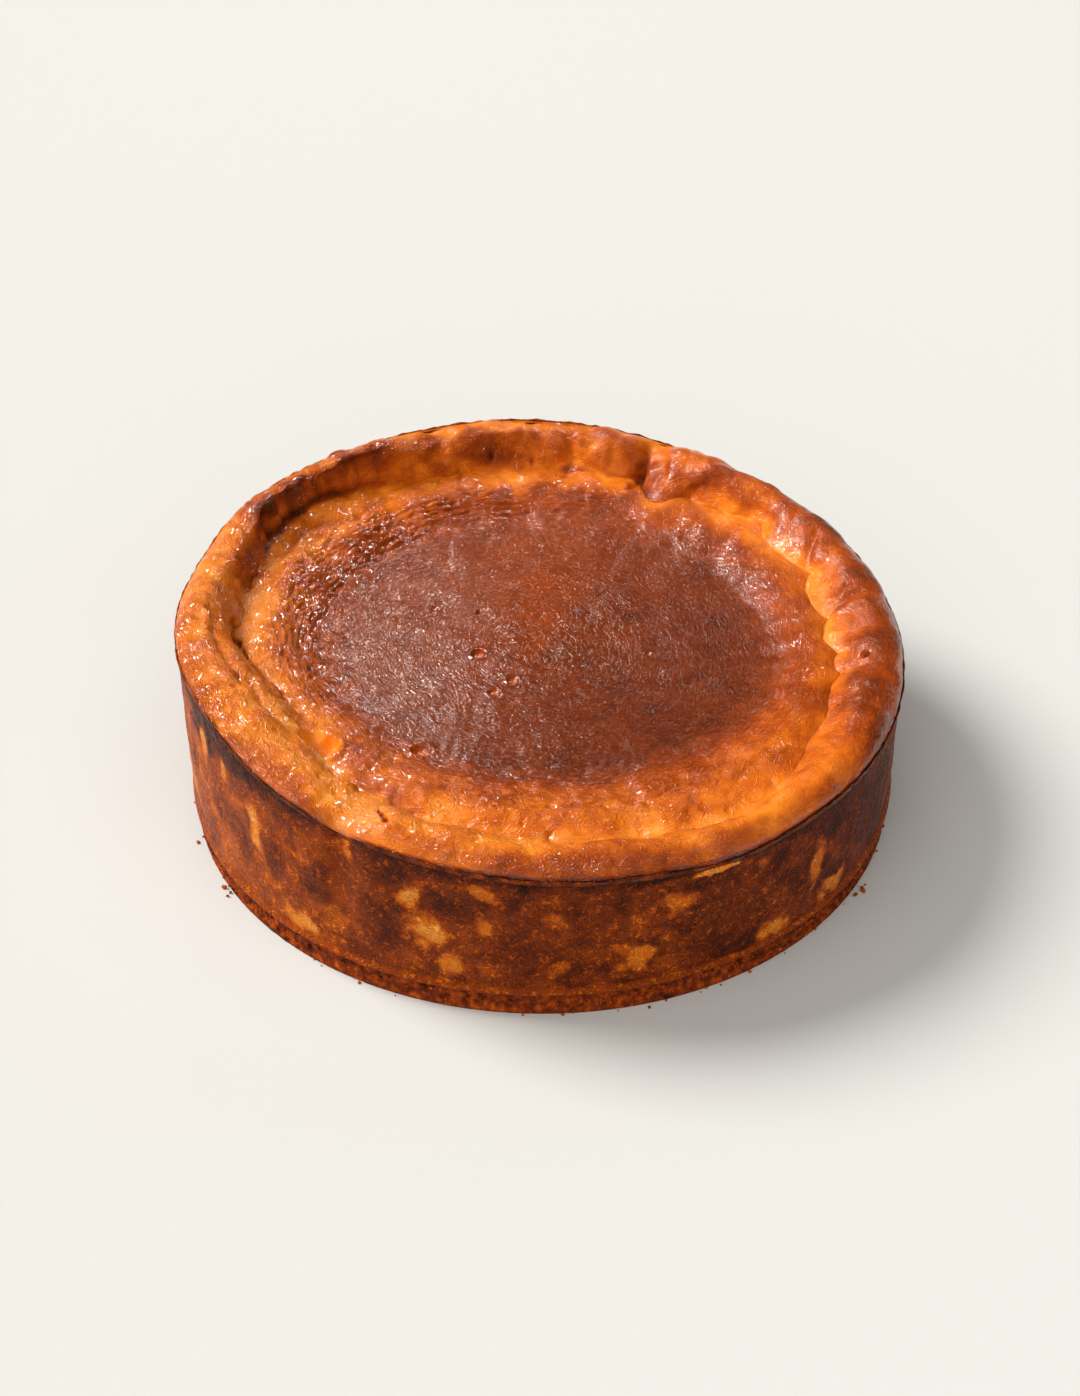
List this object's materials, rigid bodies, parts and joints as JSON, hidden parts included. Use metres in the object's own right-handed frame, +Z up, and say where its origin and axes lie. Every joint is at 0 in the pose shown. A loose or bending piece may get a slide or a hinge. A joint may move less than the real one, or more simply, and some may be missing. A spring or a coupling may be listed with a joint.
{
  "type": "basque cheesecake",
  "caption": "Whole burnt basque cheesecake, round and tall, with a puffed folded rim, a sunken glossy dark top and a thin biscuit crumb base.",
  "frame": {"origin": "middle of the underside of the crumb base, on the surface that the cake stands on", "axes": "+Z up through the cake; +Y towards the back, where the rim stands tallest; +X to the right as seen from the front"},
  "size_m": [0.2326, 0.2325, 0.0706],
  "materials": {
    "baked_custard": "browned baked custard skin, glossy on the folded rim, satin and finely wrinkled on the sunken top, mottled brown with scorched and pale patches on the side",
    "biscuit_crumb": "dark brown pressed biscuit crumb, granular and dull"
  },
  "bodies": {
    "root": {"cake": "baked_custard", "crumb_base": "biscuit_crumb"}
  },
  "joints": []
}
